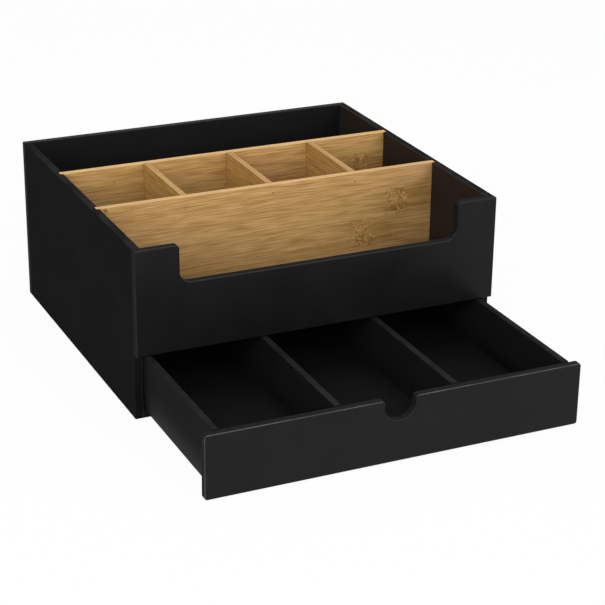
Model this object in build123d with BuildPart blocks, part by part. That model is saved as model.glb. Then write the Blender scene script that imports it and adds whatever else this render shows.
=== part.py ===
from build123d import *
import os

os.makedirs("parts", exist_ok=True)

# Tea bag box: an open, divided storey over a drawer with three compartments.
# Millimetres. X runs to the right as seen from the front, Y into the depth and Z up.
# The origin is the middle of the face that the casing stands on.
# The drawer is drawn pulled out by drawer_opening.

# Casing, made of painted boards
case_width = 280.0
case_depth = 258.0
case_height = 128.0
board_t = 6.0
drawer_bay_top = 49.5
edge_r = 0.8

# Wide cut-out in the top edge of the front panel
post_width = 32.5
cutout_depth = 28.0
cutout_floor_r = 8.5
cutout_lip_r = 3.0

# Bamboo dividers
strip_t = 5.0
strip_edge_r = 0.4
front_bay_depth = 82.5
middle_bay_depth = 77.5
bays_across = 4
strip_let_in = 2.5
strip_clearance = 0.1

# Drawer front
plate_t = 6.0
plate_foot_gap = 1.0
plate_head_gap = 2.0
plate_corner_r = 2.0
finger_r = 11.5
finger_depth = 16.0
finger_lip_r = 2.5

# Drawer box
wall_t = 5.0
wall_edge_r = 0.6
wall_head_gap = 1.2
side_clearance = 1.0
slide_clearance = 0.3
rear_clearance = 2.0
drawer_floor_t = 3.0
drawer_floor_rise = 2.0
drawer_floor_let_in = 2.0
compartments = 3
drawer_opening = 124.0

# Casing positions
case_x = case_width / 2
inner_x = case_x - board_t
front_y = -case_depth / 2
rear_y = case_depth / 2
inner_front_y = front_y + board_t
inner_rear_y = rear_y - board_t
storage_floor_top = drawer_bay_top + board_t

# Bamboo divider positions
front_strip_y = inner_front_y + front_bay_depth
rear_strip_y = front_strip_y + strip_t + middle_bay_depth
bay_width = (2 * inner_x - (bays_across - 1) * strip_t) / bays_across
bay_pitch = bay_width + strip_t

# Drawer positions
plate_front_y = front_y - drawer_opening
plate_back_y = plate_front_y + plate_t
drawer_length = inner_rear_y - rear_clearance - (front_y + plate_t)
drawer_rear_y = plate_back_y + drawer_length
drawer_back_y = drawer_rear_y - wall_t
drawer_x = inner_x - side_clearance
drawer_inner_x = drawer_x - wall_t
wall_foot = board_t + slide_clearance
wall_head = drawer_bay_top - wall_head_gap
drawer_floor_foot = wall_foot + drawer_floor_rise
drawer_floor_top = drawer_floor_foot + drawer_floor_t
compartment_width = (2 * drawer_inner_x - (compartments - 1) * wall_t) / compartments
compartment_pitch = compartment_width + wall_t


def board(x_span, y_span, z_span, mode=Mode.ADD):
    """A board that fills three low-to-high spans."""
    spans = (x_span, y_span, z_span)
    with Locations(tuple((low + high) / 2 for low, high in spans)):
        Box(*(high - low for low, high in spans), mode=mode)


def upper_edges(piece, direction):
    """The straight edges along a direction that bound the piece's top face."""
    return piece.faces().sort_by(Axis.Z)[-1].edges().filter_by(direction)


# Side boards, between the front and back panels, with a groove for each long divider
with BuildPart() as left_side:
    board((-case_x, -inner_x), (inner_front_y, inner_rear_y), (0, case_height))
    fillet(upper_edges(left_side, Axis.Y), edge_r)
    for strip_y in (front_strip_y, rear_strip_y):
        board(
            (-inner_x - strip_let_in - strip_clearance, -inner_x),
            (strip_y - strip_clearance, strip_y + strip_t + strip_clearance),
            (storage_floor_top, case_height),
            mode=Mode.SUBTRACT,
        )

with BuildPart() as right_side:
    mirror(left_side.part, about=Plane.YZ)

# Back panel, on the rear edges of the side boards
with BuildPart() as back_panel:
    board((-case_x, case_x), (inner_rear_y, rear_y), (0, case_height))
    rear_edges = back_panel.faces().sort_by(Axis.Y)[-1].edges()
    top_edges = back_panel.faces().sort_by(Axis.Z)[-1].edges()
    fillet((rear_edges | Axis.Z) + top_edges, edge_r)

# Front panel, on the front edges of the side boards, open below for the drawer
with BuildPart() as front_panel:
    with BuildSketch(Plane.XZ.offset(-inner_front_y)) as outline:
        with Locations((0, drawer_bay_top)):
            Rectangle(case_width, case_height - drawer_bay_top, align=(Align.CENTER, Align.MIN))
        with Locations((0, case_height)):
            Rectangle(
                case_width - 2 * post_width,
                cutout_depth,
                align=(Align.CENTER, Align.MAX),
                mode=Mode.SUBTRACT,
            )
        fillet(outline.vertices().group_by(Axis.Y)[1], cutout_floor_r)
        fillet(outline.vertices().group_by(Axis.Y)[-1].sort_by(Axis.X)[1:3], cutout_lip_r)
    extrude(amount=board_t)
    front_edges = front_panel.faces().sort_by(Axis.Y)[0].edges()
    back_edges = front_panel.faces().sort_by(Axis.Y)[-1].edges()
    open_edges = back_edges.filter_by(
        lambda edge: edge.center().Z > case_height - cutout_depth - edge_r
        and abs(edge.center().X) < case_x - edge_r
    )
    end_edges = (front_panel.edges() | Axis.Y).group_by(Axis.Z)[-1]
    fillet(front_edges + open_edges + end_edges, edge_r)

# Floor of the upper storey and the panel that the drawer runs on, between the side boards
with BuildPart() as storage_floor:
    board((-inner_x, inner_x), (inner_front_y, inner_rear_y), (drawer_bay_top, storage_floor_top))

with BuildPart() as base_panel:
    board((-inner_x, inner_x), (inner_front_y, inner_rear_y), (0, board_t))

# Long bamboo dividers, let into both side boards
with BuildPart() as front_divider:
    board(
        (-inner_x - strip_let_in, inner_x + strip_let_in),
        (front_strip_y, front_strip_y + strip_t),
        (storage_floor_top, case_height),
    )
    fillet(upper_edges(front_divider, Axis.X), strip_edge_r)

with BuildPart() as rear_divider:
    with Locations((0, rear_strip_y - front_strip_y, 0)):
        add(front_divider.part)

# Short bamboo dividers, between the long ones
cross_dividers = []
for index in range(1, bays_across):
    strip_x = -inner_x + index * bay_pitch - strip_t
    with BuildPart() as cross_divider:
        board(
            (strip_x, strip_x + strip_t),
            (front_strip_y + strip_t, rear_strip_y),
            (storage_floor_top, case_height),
        )
        fillet(upper_edges(cross_divider, Axis.Y), strip_edge_r)
    cross_dividers.append(cross_divider)

# Drawer front, as wide as the casing, with a finger notch in its top edge
with BuildPart() as drawer_front:
    plate_head = drawer_bay_top - plate_head_gap
    with BuildSketch(Plane.XZ.offset(-plate_back_y)) as outline:
        with Locations((0, plate_foot_gap)):
            Rectangle(case_width, plate_head - plate_foot_gap, align=(Align.CENTER, Align.MIN))
        fillet(outline.vertices(), plate_corner_r)
        with Locations((0, plate_head - finger_depth + finger_r)):
            Circle(finger_r, mode=Mode.SUBTRACT)
            Rectangle(
                2 * finger_r,
                finger_depth,
                align=(Align.CENTER, Align.MIN),
                mode=Mode.SUBTRACT,
            )
        lips = outline.vertices().group_by(Axis.Y)[-1].sort_by(Axis.X)[1:3]
        fillet(lips, finger_lip_r)
    extrude(amount=plate_t)
    fillet(drawer_front.edges().filter_by(Axis.Y, reverse=True), edge_r)

# Drawer sides and back, with a groove for the floor
with BuildPart() as drawer_left_side:
    board((-drawer_x, -drawer_inner_x), (plate_back_y, drawer_rear_y), (wall_foot, wall_head))
    fillet(upper_edges(drawer_left_side, Axis.Y), wall_edge_r)
    board(
        (-drawer_inner_x - drawer_floor_let_in, -drawer_inner_x),
        (plate_back_y, drawer_back_y + drawer_floor_let_in),
        (drawer_floor_foot, drawer_floor_top),
        mode=Mode.SUBTRACT,
    )

with BuildPart() as drawer_right_side:
    mirror(drawer_left_side.part, about=Plane.YZ)

with BuildPart() as drawer_back:
    board((-drawer_inner_x, drawer_inner_x), (drawer_back_y, drawer_rear_y), (wall_foot, wall_head))
    fillet(upper_edges(drawer_back, Axis.X), wall_edge_r)
    board(
        (-drawer_inner_x, drawer_inner_x),
        (drawer_back_y, drawer_back_y + drawer_floor_let_in),
        (drawer_floor_foot, drawer_floor_top),
        mode=Mode.SUBTRACT,
    )

with BuildPart() as drawer_floor:
    board(
        (-drawer_inner_x - drawer_floor_let_in, drawer_inner_x + drawer_floor_let_in),
        (plate_back_y, drawer_back_y + drawer_floor_let_in),
        (drawer_floor_foot, drawer_floor_top),
    )

# Drawer dividers, from the drawer front to the drawer back
drawer_dividers = []
for index in range(1, compartments):
    divider_x = -drawer_inner_x + index * compartment_pitch - wall_t
    with BuildPart() as drawer_divider:
        board(
            (divider_x, divider_x + wall_t),
            (plate_back_y, drawer_back_y),
            (drawer_floor_top, wall_head),
        )
        fillet(upper_edges(drawer_divider, Axis.Y), wall_edge_r)
    drawer_dividers.append(drawer_divider)

pieces = {
    "left_side": left_side,
    "right_side": right_side,
    "back_panel": back_panel,
    "front_panel": front_panel,
    "storage_floor": storage_floor,
    "base_panel": base_panel,
    "front_divider": front_divider,
    "rear_divider": rear_divider,
    "drawer_front": drawer_front,
    "drawer_left_side": drawer_left_side,
    "drawer_right_side": drawer_right_side,
    "drawer_back": drawer_back,
    "drawer_floor": drawer_floor,
}
for index, piece in enumerate(cross_dividers, start=1):
    pieces[f"cross_divider_{index}"] = piece
for index, piece in enumerate(drawer_dividers, start=1):
    pieces[f"drawer_divider_{index}"] = piece

for name, piece in pieces.items():
    piece.part.label = name
    export_step(piece.part, f"parts/{name}.step")
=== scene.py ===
import math

import bpy
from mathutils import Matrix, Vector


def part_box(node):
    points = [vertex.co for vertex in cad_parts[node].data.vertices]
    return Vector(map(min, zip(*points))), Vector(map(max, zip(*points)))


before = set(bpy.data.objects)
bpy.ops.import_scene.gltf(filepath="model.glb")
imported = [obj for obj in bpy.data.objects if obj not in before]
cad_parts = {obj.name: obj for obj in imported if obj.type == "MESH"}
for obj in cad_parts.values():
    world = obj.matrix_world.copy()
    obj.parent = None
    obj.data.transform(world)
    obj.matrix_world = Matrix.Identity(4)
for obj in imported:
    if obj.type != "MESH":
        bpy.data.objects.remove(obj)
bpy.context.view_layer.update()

scene = bpy.context.scene
scene.view_settings.view_transform = "Standard"
bpy.ops.object.select_all(action="DESELECT")

# Metres, in the frame of the model: X to the right, Y into the depth, Z up.

# Black paint: its deep and soft parts, grain that shows through, dust, edges partly worn and partly
# painted highlight, a painted highlight line on the arrises, painted top light on the top faces, and a
# painted warm reflection of the bamboo on the inner faces
coat_deep = (0.0042, 0.0041, 0.0041)
coat_soft = (0.0054, 0.0053, 0.0053)
coat_grain = (0.0078, 0.0076, 0.0076)
coat_dust = (0.022, 0.022, 0.023)
# Rubbed edges: partly worn paint and partly a painted highlight along the edges
worn_and_highlit_edge = (0.060, 0.060, 0.062)
# A painted highlight line along the arrises
painted_arris_highlight = (0.066, 0.066, 0.068)
# Painted top light: the top faces of the boards made paler, as if lit from above
top_light_dim = (0.0085, 0.0085, 0.0088)
top_light_bright = (0.0230, 0.0224, 0.0232)
# Painted reflection: the warm light bounced from the bamboo onto the faces that look into the box
painted_warm_bounce = (0.0270, 0.0205, 0.0160)

# Bamboo: broad bands, patches, whole strips, fibre lines and knuckles
gold = (0.450, 0.272, 0.102)
honey = (0.422, 0.234, 0.079)
olive = (0.390, 0.260, 0.080)
rose = (0.465, 0.256, 0.112)
warm_strip = (0.460, 0.255, 0.105)
brown_strip = (0.400, 0.235, 0.078)
vein_tone = (0.270, 0.138, 0.036)
streak_tone = (0.290, 0.150, 0.042)
dash_tone = (0.285, 0.148, 0.040)
hair_tone = (0.640, 0.400, 0.165)
knuckle_shade = (0.245, 0.130, 0.020)
knuckle_line = (0.195, 0.095, 0.009)
knuckle_strand = (0.620, 0.385, 0.160)
speck_tone = (0.060, 0.035, 0.018)
joint_tone = (0.230, 0.120, 0.035)
# Darker at the cross dividers' ends: partly a glue line and partly painted contact shade where they
# meet the other boards
end_glue_and_shade = (0.120, 0.062, 0.020)
# Paler on the bamboo's top face and arrises: partly the planed top's own tone, partly painted top
# light, and a painted highlight on the arrises
pale_top_and_highlight = (0.700, 0.445, 0.175)
plain_top = (0.300, 0.170, 0.034)

# The strips that a bamboo board is glued up from: one joint's height, and their own height
strip_joint = 0.0900
strip_height = 0.0225

# How much the finishes reflect
front_gloss = 0.12
side_gloss = 0.02
plain_gloss = 0.08
bamboo_gloss = 0.16

# How rough the paint is: satin on the faces named here, and nearly matt on the rest
plate_satin = 0.45
panel_satin = 0.34
inner_satin = 0.30
foot_satin = 0.60
fully_matt = 1.0
plain_matt = 0.75

# How much paler the same black paint is made on the side boards and the back: painted light
side_painted_lift = 1.7
back_painted_lift = 1.2

# Studio
floor_grey = 0.88
floor_white_share = 0.95
world_light = 0.15


# ---------------------------------------------------------------- camera

bpy.ops.object.camera_add(location=(-0.52821, -1.23443, 0.58678))
camera = bpy.context.object
camera.name = "camera"
camera.rotation_euler = [math.radians(turn) for turn in (67.0367, -0.6571, -24.6161)]
camera.data.sensor_width = 36.0
camera.data.lens = 111.156
camera.data.clip_start = 0.05
camera.data.clip_end = 30.0
scene.camera = camera


# ---------------------------------------------------------------- finishes


class Finish:
    """One procedural finish: its surface shader and the steps that feed it."""

    def __init__(self, name):
        self.material = bpy.data.materials.new(name)
        self.material.use_nodes = True
        self.tree = self.material.node_tree
        self.tree.nodes.clear()
        output = self.tree.nodes.new("ShaderNodeOutputMaterial")
        self.surface = self.tree.nodes.new("ShaderNodeBsdfPrincipled")
        self.tree.links.new(self.surface.outputs["BSDF"], output.inputs["Surface"])
        self.place = self.step("TexCoord").outputs["Object"]
        split = self.step("SeparateXYZ", Vector=self.place)
        self.x, self.y, self.z = split.outputs["X"], split.outputs["Y"], split.outputs["Z"]

    def step(self, kind, choose=None, **feeds):
        """A node with its choices set and its inputs fed by values or by other nodes."""
        node = self.tree.nodes.new("ShaderNode" + kind)
        for name, value in (choose or {}).items():
            setattr(node, name, value)
        for name, value in feeds.items():
            self.feed(node.inputs[name.replace("_", " ")], value)
        return node

    def feed(self, socket, value):
        if isinstance(value, bpy.types.NodeSocket):
            self.tree.links.new(value, socket)
        else:
            socket.default_value = value

    def sum(self, operation, first, second=0.0, third=0.0):
        node = self.step("Math", {"operation": operation})
        for socket, value in zip(node.inputs, (first, second, third)):
            self.feed(socket, value)
        return node.outputs["Value"]

    def product(self, first, second):
        return self.sum("MULTIPLY", first, second)

    def fade(self, value, low, high, start=0.0, end=1.0):
        """A smooth step from start at low to end at high."""
        node = self.step("MapRange", {"interpolation_type": "SMOOTHSTEP"}, Value=value)
        for name, number in zip(("From Min", "From Max", "To Min", "To Max"), (low, high, start, end)):
            self.feed(node.inputs[name], number)
        return node.outputs["Result"]

    def blend(self, share, first, second, blend_type="MIX"):
        """The first colour, with a share of the second laid over it."""
        node = self.step("Mix", {"data_type": "RGBA", "blend_type": blend_type})
        self.feed(node.inputs["Factor"], share)
        colours = [socket for socket in node.inputs if socket.type == "RGBA"]
        for socket, value in zip(colours, (first, second)):
            self.feed(socket, (*value, 1.0) if isinstance(value, tuple) else value)
        return [socket for socket in node.outputs if socket.type == "RGBA"][0]

    def point(self, x, y, z):
        return self.step("CombineXYZ", X=x, Y=y, Z=z).outputs["Vector"]

    def noise(self, at, scale=1.0, detail=2.0, roughness=0.5):
        node = self.step("TexNoise", Vector=at, Scale=scale, Detail=detail, Roughness=roughness)
        return node.outputs["Fac"]

    def cells(self, scale):
        return self.step("TexVoronoi", Vector=self.place, Scale=scale, Randomness=1.0)

    def bumps(self, *layers):
        """Lays bumps over each other: each a height, a strength and a depth."""
        below = {}
        for height, strength, depth in layers:
            layer = self.step("Bump", Height=height, Strength=strength, Distance=depth, **below)
            below = {"Normal": layer.outputs["Normal"]}
        self.feed(self.surface.inputs["Normal"], below["Normal"])


def edge_mask(finish, reach):
    """How near the surface is to an edge, from 0 on a flat to 1 on the arris."""
    rounded = finish.step("Bevel", {"samples": 6}, Radius=reach).outputs["Normal"]
    flat = finish.step("NewGeometry").outputs["Normal"]
    turn = finish.step("VectorMath", {"operation": "DOT_PRODUCT"})
    finish.feed(turn.inputs[0], rounded)
    finish.feed(turn.inputs[1], flat)
    return finish.fade(turn.outputs["Value"], 0.995, 0.80)


def arris_mask(finish, node):
    """How near the surface is to an arris of the board's own box, from 0 to 1."""
    gaps = []
    for at, low, high in zip((finish.x, finish.y, finish.z), *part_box(node)):
        from_low = finish.sum("SUBTRACT", at, low)
        from_high = finish.sum("SUBTRACT", high, at)
        gaps.append(finish.sum("MINIMUM", from_low, from_high))
    nearer = finish.sum("MINIMUM", gaps[0], gaps[1])
    farther = finish.sum("MAXIMUM", gaps[0], gaps[1])
    second = finish.sum("MAXIMUM", nearer, finish.sum("MINIMUM", farther, gaps[2]))
    return finish.fade(second, 0.0003, 0.0007, 1.0, 0.0)


def black_paint(node, along, gloss, roughness, wear_and_highlight_share=0.3, arris=0.0, head=0.0,
                front=None, inner=None, foot=None, painted_lift=1.0):
    """Black paint on one board, with soft mottling, dust, and edges that are partly worn and partly a
    painted highlight.

    front, inner and foot are the roughness of the face that looks forward, of the face
    that looks into the box, and at the board's foot; the face that looks into the box also
    gets a painted warm reflection of the bamboo. head is the share of painted top light on
    its top face, arris the share of the painted highlight line along its arrises, and the
    last argument how much paler the same paint is made on this board, as painted light.
    """
    finish = Finish(f"black_paint_{node}")
    low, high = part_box(node)
    length, across = (finish.x, finish.y) if along == "X" else (finish.y, finish.x)
    long_place = finish.point(
        finish.product(length, 12.0), finish.product(across, 380.0), finish.product(finish.z, 380.0)
    )
    grain = finish.noise(long_place, 1.0, 3.0, 0.6)
    cloud = finish.noise(finish.place, 26.0, 4.0, 0.6)
    mottle = finish.noise(finish.place, 60.0, 4.0, 0.65)
    spray = finish.noise(finish.place, 1900.0, 2.0, 0.6)
    patchy = finish.fade(finish.noise(finish.place, 110.0, 3.0, 0.6), 0.3, 0.7, 0.4, 1.0)
    dust = finish.cells(95.0).outputs["Distance"]
    # A mask of the edges, partly wear and partly a painted highlight; it also makes them smoother
    edge_wear_and_highlight = finish.product(finish.product(edge_mask(finish, 0.0006), patchy), wear_and_highlight_share)

    tone = finish.blend(finish.fade(cloud, 0.3, 0.7), coat_deep, coat_soft)
    # The same black paint made paler on some boards: painted light
    tone = finish.blend(1.0, tone, (painted_lift, painted_lift, painted_lift), "MULTIPLY")
    tone = finish.blend(finish.fade(grain, 0.5, 0.8, 0.0, 0.22), tone, coat_grain)
    tone = finish.blend(finish.fade(dust, 0.02, 0.05, 0.5, 0.0), tone, coat_dust)
    # A paler, mottled tone on the board's top face: painted top light
    if head:
        on_head = finish.fade(finish.z, high.z - 0.0007, high.z - 0.0002, 0.0, head)
        painted_top_light = finish.blend(finish.fade(mottle, 0.36, 0.66), top_light_dim, top_light_bright)
        tone = finish.blend(on_head, tone, painted_top_light)
    # Edges paler: partly wear and partly a painted highlight
    tone = finish.blend(edge_wear_and_highlight, tone, worn_and_highlit_edge)
    # A painted highlight line along the board's arrises
    if arris:
        line = finish.fade(mottle, 0.35, 0.65, 0.45 * arris, arris)
        tone = finish.blend(finish.product(arris_mask(finish, node), line), tone, painted_arris_highlight)
    if front:
        facing = finish.fade(finish.y, low.y + 0.0005, low.y + 0.0009, 1.0, 0.0)
        roughness = finish.fade(facing, 0.0, 1.0, roughness, front)
    if foot:
        roughness = finish.fade(finish.z, low.z, low.z + 0.6 * (high.z - low.z), foot, roughness)
    if inner:
        face = min(abs(low.x), abs(high.x))
        from_middle = finish.sum("ABSOLUTE", finish.x)
        inside = finish.fade(from_middle, face + 0.0002, face + 0.0008, 1.0, 0.0)
        roughness = finish.fade(inside, 0.0, 1.0, roughness, inner)
        # The faces that look into the box get a warm tone, a painted reflection of light bounced from
        # the bamboo, mottled by the cloud noise
        bounce_mottle = finish.fade(cloud, 0.3, 0.7, 0.8, 1.0)
        tone = finish.blend(finish.product(inside, bounce_mottle), tone, painted_warm_bounce)
    finish.feed(finish.surface.inputs["Base Color"], tone)

    broad = finish.fade(cloud, 0.3, 0.7, -0.03, 0.03)
    fine = finish.fade(spray, 0.3, 0.7, -0.02, 0.02)
    polished = finish.fade(edge_wear_and_highlight, 0.0, 1.0, 0.0, -0.15)
    change = finish.sum("ADD", finish.sum("ADD", broad, fine), polished)
    finish.feed(finish.surface.inputs["Roughness"], finish.sum("ADD", roughness, change))
    finish.surface.inputs["Specular IOR Level"].default_value = gloss
    finish.bumps((spray, 0.22, 0.00004), (grain, 0.2, 0.00006))
    return finish.material


def bamboo(name, along, top, seed, knuckles=(), specks=(), ends=None, painted_light_tint=None, top_tone=pale_top_and_highlight):
    """Clear-lacquered bamboo: flat strips glued edge to edge, with fibre lines and knuckles.

    A knuckle is given by its place along the board and the strip it is on, a dark speck
    by its place along the board and its height.
    """
    finish = Finish(name)
    length, through = (finish.x, finish.y) if along == "X" else (finish.y, finish.x)
    up = finish.z
    strips_up = finish.sum("DIVIDE", finish.sum("SUBTRACT", up, strip_joint), strip_height)
    strip = finish.sum("FLOOR", strips_up)
    drawn = finish.step(
        "TexWhiteNoise", {"noise_dimensions": "1D"}, W=finish.sum("ADD", strip, seed * 7.31)
    )
    chance = drawn.outputs["Value"]
    other_chance = finish.step("SeparateColor", Color=drawn.outputs["Color"]).outputs["Blue"]
    shifted = finish.sum("ADD", length, finish.product(chance, 1.7))

    def centred(value, reach):
        return finish.product(finish.sum("SUBTRACT", value, 0.5), reach)

    def distance(value, middle):
        return finish.sum("ABSOLUTE", finish.sum("SUBTRACT", value, middle))

    def stretched(at_height, per_length, per_height, detail=1.0):
        at = finish.point(
            finish.product(shifted, per_length),
            finish.product(at_height, per_height),
            finish.product(through, per_height),
        )
        return finish.noise(at, 1.0, detail, 0.5)

    # Where the knuckles are, and the shaded fibres beside them
    wander = finish.fade(finish.noise(finish.place, 150.0, 2.0, 0.6), 0.2, 0.8, -0.006, 0.006)
    from_joint = distance(finish.sum("FRACT", strips_up), 0.5)
    in_strip = finish.fade(from_joint, 0.40, 0.50, 1.0, 0.40)
    knuckle = 0.0
    shade = 0.0
    for at, row in knuckles:
        here = finish.product(finish.sum("COMPARE", strip, float(row), 0.1), in_strip)
        offset = finish.sum("ADD", finish.sum("SUBTRACT", length, at), wander)
        near = finish.fade(finish.sum("ABSOLUTE", offset), 0.0035, 0.0115, 1.0, 0.0)
        beside = finish.fade(distance(offset, 0.010), 0.008, 0.034, 1.0, 0.0)
        knuckle = finish.sum("ADD", knuckle, finish.product(near, here))
        shade = finish.sum("ADD", shade, finish.product(beside, here))

    # The fibres wave slowly along the board, and curl at a knuckle
    curl = finish.product(knuckle, centred(finish.noise(finish.place, 230.0, 1.0, 0.5), 0.012))
    slow_wave = centred(stretched(up, 9.0, 18.0), 0.0034)
    quick_wave = centred(stretched(up, 45.0, 90.0), 0.0007)
    waved_up = finish.sum("ADD", finish.sum("ADD", up, curl), finish.sum("ADD", slow_wave, quick_wave))

    def fibres(per_length, per_height):
        return stretched(waved_up, per_length, per_height)

    bands = fibres(5.0, 70.0)
    patch = stretched(up, 24.0, 85.0, 2.0)
    veins = finish.sum("ABSOLUTE", centred(fibres(6.0, 330.0), 2.0))
    vein_share = finish.fade(fibres(13.0, 200.0), 0.36, 0.62, 0.05, 1.0)
    streaks = fibres(11.0, 600.0)
    dashes = fibres(40.0, 1300.0)
    hairs = fibres(45.0, 1650.0)

    tone = finish.blend(finish.fade(bands, 0.32, 0.68), gold, honey)
    tone = finish.blend(finish.fade(patch, 0.46, 0.62, 0.0, 0.42), tone, olive)
    tone = finish.blend(finish.fade(patch, 0.54, 0.40, 0.0, 0.45), tone, rose)
    tone = finish.blend(finish.fade(chance, 0.0, 1.0, 0.0, 0.40), tone, warm_strip)
    tone = finish.blend(finish.fade(other_chance, 0.0, 1.0, 0.0, 0.25), tone, brown_strip)
    vein = finish.product(finish.fade(veins, 0.03, 0.22, 0.52, 0.0), vein_share)
    tone = finish.blend(vein, tone, vein_tone)
    tone = finish.blend(finish.fade(streaks, 0.50, 0.70, 0.0, 0.50), tone, streak_tone)
    tone = finish.blend(finish.fade(dashes, 0.46, 0.68, 0.0, 0.80), tone, dash_tone)
    tone = finish.blend(finish.fade(hairs, 0.42, 0.70, 0.0, 0.60), tone, hair_tone)

    if knuckles:
        grouped = finish.fade(stretched(up, 40.0, 120.0), 0.35, 0.60, 0.35, 1.0)
        lined = finish.product(grouped, finish.fade(streaks, 0.35, 0.58, 0.14, 0.72))
        tone = finish.blend(finish.product(shade, lined), tone, knuckle_shade)
        curled = finish.fade(fibres(230.0, 1050.0), 0.45, 0.57, 0.0, 0.95)
        tone = finish.blend(finish.product(knuckle, curled), tone, knuckle_line)
        strands = finish.fade(fibres(260.0, 1350.0), 0.52, 0.64, 0.0, 0.85)
        tone = finish.blend(finish.product(knuckle, strands), tone, knuckle_strand)

    for along_at, up_at in specks:
        away = finish.step("VectorMath", {"operation": "DISTANCE"})
        finish.feed(away.inputs[0], finish.point(length, up, 0.0))
        finish.feed(away.inputs[1], (along_at, up_at, 0.0))
        spot = finish.fade(away.outputs["Value"], 0.0003, 0.0008, 0.85, 0.0)
        tone = finish.blend(spot, tone, speck_tone)

    # Glue joints between the strips; then the top face and the arrises take the top tone: with the
    # pale one, partly the planed top's own tone and partly painted top light, and a painted highlight
    # on the arrises
    gap = distance(finish.sum("FRACT", finish.sum("ADD", strips_up, 0.5)), 0.5)
    tone = finish.blend(finish.fade(gap, 0.002, 0.012, 0.30, 0.0), tone, joint_tone)
    tone = finish.blend(finish.fade(up, top - 0.0006, top - 0.0001, 0.0, 0.55), tone, top_tone)
    # The arrises take the top tone: with the pale one, a painted highlight
    tone = finish.blend(finish.product(edge_mask(finish, 0.0004), 0.60), tone, top_tone)
    # Darker near the board's ends: partly a glue line, partly painted contact shade
    if ends:
        from_low = finish.sum("SUBTRACT", length, ends[0])
        from_high = finish.sum("SUBTRACT", ends[1], length)
        from_end = finish.sum("MINIMUM", from_low, from_high)
        tone = finish.blend(finish.fade(from_end, 0.0002, 0.0010, 0.70, 0.0), tone, end_glue_and_shade)
    # Each board's tint makes the same bamboo paler or darker: painted light
    if painted_light_tint:
        tone = finish.blend(1.0, tone, painted_light_tint, "MULTIPLY")
    finish.feed(finish.surface.inputs["Base Color"], tone)
    finish.feed(finish.surface.inputs["Roughness"], finish.fade(streaks, 0.3, 0.75, 0.50, 0.62))
    finish.surface.inputs["Specular IOR Level"].default_value = bamboo_gloss
    finish.bumps((hairs, 0.3, 0.00005), (streaks, 0.35, 0.00012))
    return finish.material


def dress(node, material):
    """Gives a CAD node a finish in place of its plain one."""
    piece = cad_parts[node]
    piece.data.materials.clear()
    piece.data.materials.append(material)


# The fronts are satin where they look forward, and the side boards where they look inward
dress(
    "drawer_front",
    black_paint("drawer_front", "X", front_gloss, 0.90, wear_and_highlight_share=0.6, arris=1.0, front=plate_satin),
)
dress(
    "front_panel",
    black_paint("front_panel", "X", front_gloss, fully_matt, arris=0.05, front=panel_satin),
)
for node in ("left_side", "right_side"):
    dress(
        node,
        black_paint(node, "Y", side_gloss, fully_matt, head=1.0, inner=inner_satin, painted_lift=side_painted_lift),
    )
dress("back_panel", black_paint("back_panel", "X", plain_gloss, plain_matt, head=0.6, painted_lift=back_painted_lift))
for node in ("storage_floor", "base_panel", "drawer_floor"):
    dress(node, black_paint(node, "X", plain_gloss, plain_matt))
dress("drawer_back", black_paint("drawer_back", "X", plain_gloss, plain_matt, head=0.4))
for node in ("drawer_left_side", "drawer_right_side"):
    dress(node, black_paint(node, "Y", plain_gloss, 0.92, head=0.5, foot=foot_satin))
for node in ("drawer_divider_1", "drawer_divider_2"):
    dress(node, black_paint(node, "Y", plain_gloss, 0.80, head=0.4))

# The tints on the dividers below are painted light: the same bamboo made paler or darker for each
# board
strip_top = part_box("front_divider")[1].z
dress(
    "front_divider",
    bamboo(
        "bamboo_front_divider", "X", strip_top, 1.0,
        knuckles=((0.1035, 0), (0.0758, -1), (-0.1365, 1)),
        specks=((-0.0684, 0.1195), (0.0005, 0.1216), (0.0683, 0.1211)),
        painted_light_tint=(0.975, 0.970, 0.970),
    ),
)
dress(
    "rear_divider",
    bamboo(
        "bamboo_rear_divider", "X", strip_top, 2.0,
        knuckles=((0.1122, 0), (-0.021, -1), (0.047, -2)),
        specks=((-0.0946, 0.1160), (-0.0038, 0.1022)),
        painted_light_tint=(1.03, 1.03, 1.00),
    ),
)
for number in (1, 2, 3):
    node = f"cross_divider_{number}"
    low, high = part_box(node)
    dress(
        node,
        bamboo(
            f"bamboo_{node}", "Y", strip_top, 2.0 + number,
            ends=(low.y, high.y), painted_light_tint=(1.10, 1.04, 0.84), top_tone=plain_top,
        ),
    )


# ---------------------------------------------------------------- studio


def seen_ray(tree):
    """1 for a ray that shows the background, straight, mirrored or through glass."""
    path = tree.nodes.new("ShaderNodeLightPath")
    value = path.outputs["Is Camera Ray"]
    for name in ("Is Glossy Ray", "Is Transmission Ray"):
        most = tree.nodes.new("ShaderNodeMath")
        most.operation = "MAXIMUM"
        tree.links.new(value, most.inputs[0])
        tree.links.new(path.outputs[name], most.inputs[1])
        value = most.outputs["Value"]
    return value


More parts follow.
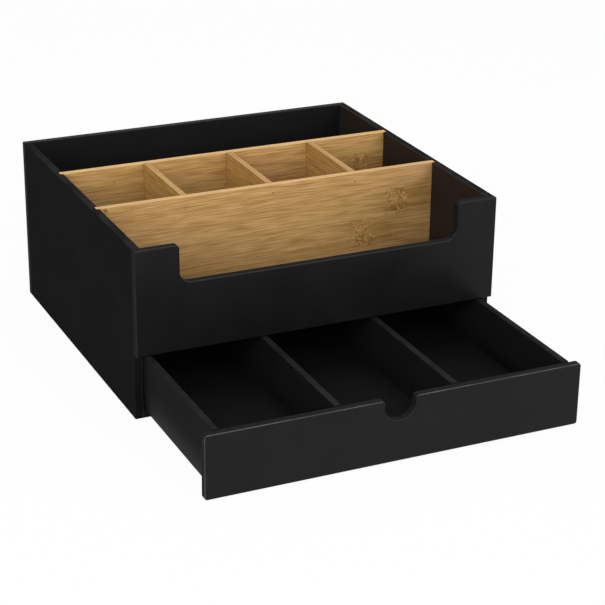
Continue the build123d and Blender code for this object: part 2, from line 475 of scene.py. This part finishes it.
# A white floor that keeps a little of the object's shadow
bpy.ops.mesh.primitive_plane_add(size=12.0, location=(0, 0, 0))
floor = bpy.context.object
floor.name = "studio_floor"
pale_floor = bpy.data.materials.new("pale_floor")
pale_floor.use_nodes = True
tree = pale_floor.node_tree
tree.nodes.clear()
output = tree.nodes.new("ShaderNodeOutputMaterial")
mix = tree.nodes.new("ShaderNodeMixShader")
matt = tree.nodes.new("ShaderNodeBsdfDiffuse")
matt.inputs["Color"].default_value = (floor_grey, floor_grey, floor_grey, 1.0)
white = tree.nodes.new("ShaderNodeEmission")
white.inputs["Color"].default_value = (1.0, 1.0, 1.0, 1.0)
white.inputs["Strength"].default_value = 1.0
share = tree.nodes.new("ShaderNodeMath")
share.operation = "MULTIPLY"
share.inputs[1].default_value = floor_white_share
tree.links.new(seen_ray(tree), share.inputs[0])
tree.links.new(share.outputs["Value"], mix.inputs[0])
tree.links.new(matt.outputs["BSDF"], mix.inputs[1])
tree.links.new(white.outputs["Emission"], mix.inputs[2])
tree.links.new(mix.outputs["Shader"], output.inputs["Surface"])
floor.data.materials.append(pale_floor)

# A white backdrop that gives only a little light of its own
world = bpy.data.worlds.new("studio")
scene.world = world
world.use_nodes = True
tree = world.node_tree
background = tree.nodes["Background"]
background.inputs["Color"].default_value = (1.0, 1.0, 1.0, 1.0)
strength = tree.nodes.new("ShaderNodeMapRange")
strength.inputs["To Min"].default_value = world_light
strength.inputs["To Max"].default_value = 1.0
tree.links.new(seen_ray(tree), strength.inputs["Value"])
tree.links.new(strength.outputs["Result"], background.inputs["Strength"])


def softbox(name, location, size, power, aim=(0.0, 0.0, 0.06)):
    """A square lamp that looks at the object."""
    bpy.ops.object.light_add(type="AREA", location=location)
    lamp = bpy.context.object
    lamp.name = name
    lamp.data.shape = "SQUARE"
    lamp.data.size = size
    lamp.data.energy = power
    reach = [end - start for end, start in zip(aim, location)]
    tilt = math.atan2(math.hypot(reach[0], reach[1]), -reach[2])
    lamp.rotation_euler = (tilt, 0.0, math.atan2(reach[1], reach[0]) - math.pi / 2)


softbox("softbox_above", (0.0, 0.1, 1.7), 1.4, 12.0)
softbox("softbox_front", (-0.5, -2.1, 1.35), 1.6, 14.0)
softbox("softbox_left", (-1.5, -1.3, 0.9), 1.0, 22.0)
softbox("softbox_back", (0.4, 2.1, 1.1), 1.5, 10.0)
softbox("softbox_right", (1.0, -2.0, 0.85), 1.6, 32.0)
